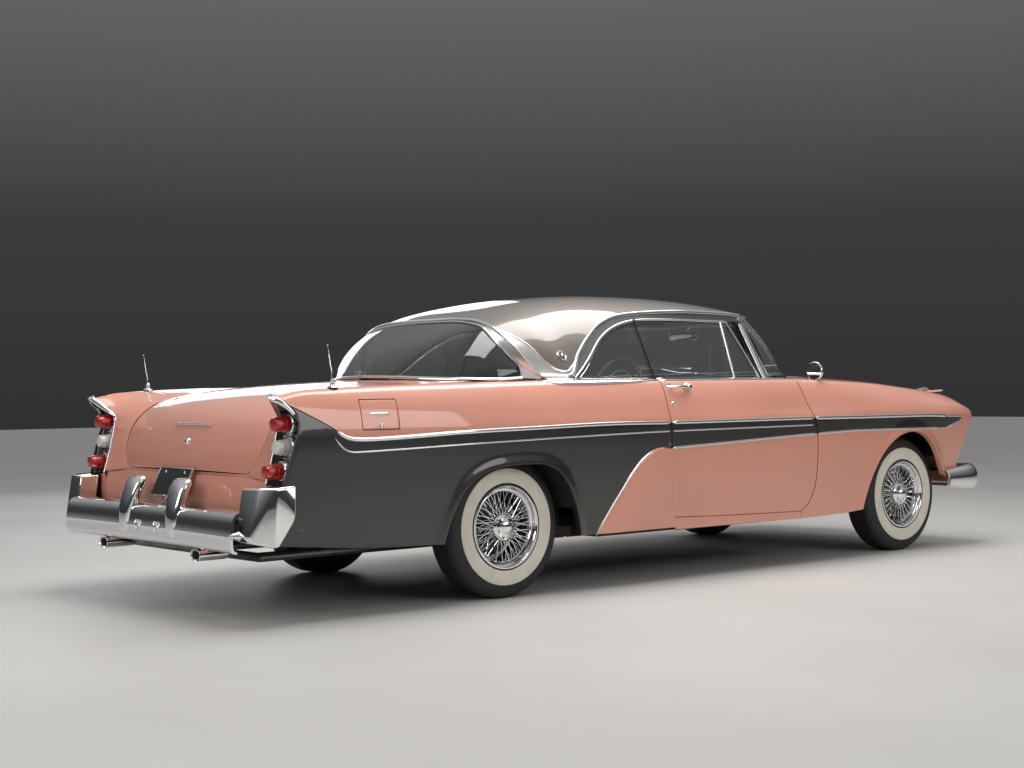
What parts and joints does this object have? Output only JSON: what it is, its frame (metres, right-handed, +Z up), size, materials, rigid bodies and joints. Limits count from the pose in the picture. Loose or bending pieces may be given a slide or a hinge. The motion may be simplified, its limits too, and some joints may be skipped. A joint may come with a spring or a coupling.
{
  "type": "two-door hardtop saloon car",
  "caption": "Two-tone 1950s two-door hardtop with low tail fins, chrome bumpers and wire wheels; the wheels roll and steer, and doors, hood, trunk lid and fuel flap open.",
  "frame": {"origin": "on the ground under the tyres, below the middle of the car's length and width", "axes": "+X forward along the car, +Y to the car's left, +Z up"},
  "size_m": [5.61, 1.936, 1.543],
  "materials": {
    "body_pink": "gloss",
    "body_charcoal": "gloss",
    "roof_paint": "gloss metallic",
    "chrome": "polished",
    "clear_glass": "polished",
    "lamp_red": "gloss",
    "chassis_black": "satin",
    "trim_cloth": "woven",
    "dash_paint": "satin",
    "steering_rim": "gloss",
    "cast_block": "painted",
    "exhaust_steel": "satin",
    "knuckle_steel": "rough",
    "tyre_rubber": "matte"
  },
  "bodies": {
    "body": {"chassis_frame": "chassis_black", "floor_pan": "chassis_black", "firewall": "body_pink", "front_fender_left": "body_pink", "front_fender_right": "body_pink", "quarter_panel_left": "body_charcoal", "quarter_panel_right": "body_charcoal", "quarter_trims": "trim_cloth", "roof": "roof_paint", "windshield_frame": "chrome", "windshield": "clear_glass", "rear_window": "clear_glass", "quarter_glass": "clear_glass", "rear_deck": "body_pink", "rear_valance": "body_pink", "rear_wheel_housings": "chassis_black", "front_wheel_aprons": "chassis_black", "grille": "chrome", "front_bumper": "chrome", "rear_bumper": "chrome", "headlights": "chrome", "tail_lights": "lamp_red", "front_seat": "trim_cloth", "rear_seat": "trim_cloth", "dashboard": "dash_paint", "steering_column": "chassis_black", "engine_block": "cast_block", "radiator": "chassis_black", "fuel_tank": "chassis_black", "exhaust": "exhaust_steel", "rear_axle": "chassis_black", "front_suspension": "chassis_black", "antennas": "chrome", "fender_mirror": "chrome", "plate_holder": "chassis_black"},
    "wheel_fl": {"wheel_front_left": "chrome", "tyre_front_left": "tyre_rubber"},
    "wheel_fr": {"wheel_front_right": "chrome", "tyre_front_right": "tyre_rubber"},
    "wheel_rl": {"wheel_rear_left": "chrome", "tyre_rear_left": "tyre_rubber"},
    "wheel_rr": {"wheel_rear_right": "chrome", "tyre_rear_right": "tyre_rubber"},
    "knuckle_left": {"steering_knuckle_left": "knuckle_steel"},
    "knuckle_right": {"steering_knuckle_right": "knuckle_steel"},
    "steering_wheel": {"steering_wheel": "steering_rim"},
    "door_left": {"door_left": "body_pink", "door_glass_left": "clear_glass"},
    "door_right": {"door_right": "body_pink", "door_glass_right": "clear_glass"},
    "hood": {"hood": "body_pink"},
    "trunk_lid": {"trunk_lid": "body_pink"},
    "fuel_flap": {"fuel_door": "body_pink"}
  },
  "joints": [
    {"name": "steer_left", "type": "hinge", "parent": "body", "child": "knuckle_left", "pos_m": [1.875, 0.65, 0.348], "axis": [0, 0, 1], "range_deg": [-32, 32]},
    {"name": "steer_right", "type": "hinge", "parent": "body", "child": "knuckle_right", "pos_m": [1.875, -0.65, 0.348], "axis": [0, 0, 1], "range_deg": [-32, 32]},
    {"name": "steering_wheel_turn", "type": "hinge", "parent": "body", "child": "steering_wheel", "pos_m": [0.615, 0.372, 1.012], "axis": [-0.9272, 0, 0.3746], "range_deg": [-576, 576]},
    {"name": "spin_front_left", "type": "hinge", "parent": "knuckle_left", "child": "wheel_fl", "pos_m": [1.875, 0.767, 0.348], "axis": [0, 1, 0], "continuous": true},
    {"name": "spin_front_right", "type": "hinge", "parent": "knuckle_right", "child": "wheel_fr", "pos_m": [1.875, -0.767, 0.348], "axis": [0, 1, 0], "continuous": true},
    {"name": "spin_rear_left", "type": "hinge", "parent": "body", "child": "wheel_rl", "pos_m": [-1.325, 0.757, 0.348], "axis": [0, 1, 0], "continuous": true},
    {"name": "spin_rear_right", "type": "hinge", "parent": "body", "child": "wheel_rr", "pos_m": [-1.325, -0.757, 0.348], "axis": [0, 1, 0], "continuous": true},
    {"name": "door_left_hinge", "type": "hinge", "parent": "body", "child": "door_left", "pos_m": [0.965, 0.955, 0.7], "axis": [0, 0, -1], "range_deg": [0, 65]},
    {"name": "door_right_hinge", "type": "hinge", "parent": "body", "child": "door_right", "pos_m": [0.965, -0.955, 0.7], "axis": [0, 0, 1], "range_deg": [0, 65]},
    {"name": "hood_hinge", "type": "hinge", "parent": "body", "child": "hood", "pos_m": [1.319, 0, 1.088], "axis": [0, -1, 0], "range_deg": [0, 50]},
    {"name": "trunk_hinge", "type": "hinge", "parent": "body", "child": "trunk_lid", "pos_m": [-1.651, 0, 1.07], "axis": [0, 1, 0], "range_deg": [0, 55]},
    {"name": "fuel_flap_hinge", "type": "hinge", "parent": "body", "child": "fuel_flap", "pos_m": [-2.141, -0.93, 0.98], "axis": [-1, 0, 0], "range_deg": [0, 85]}
  ],
  "couplings": [
    {"joint": "steer_right", "follows": "steer_left", "ratio": 1},
    {"joint": "steering_wheel_turn", "follows": "steer_left", "ratio": 18}
  ]
}
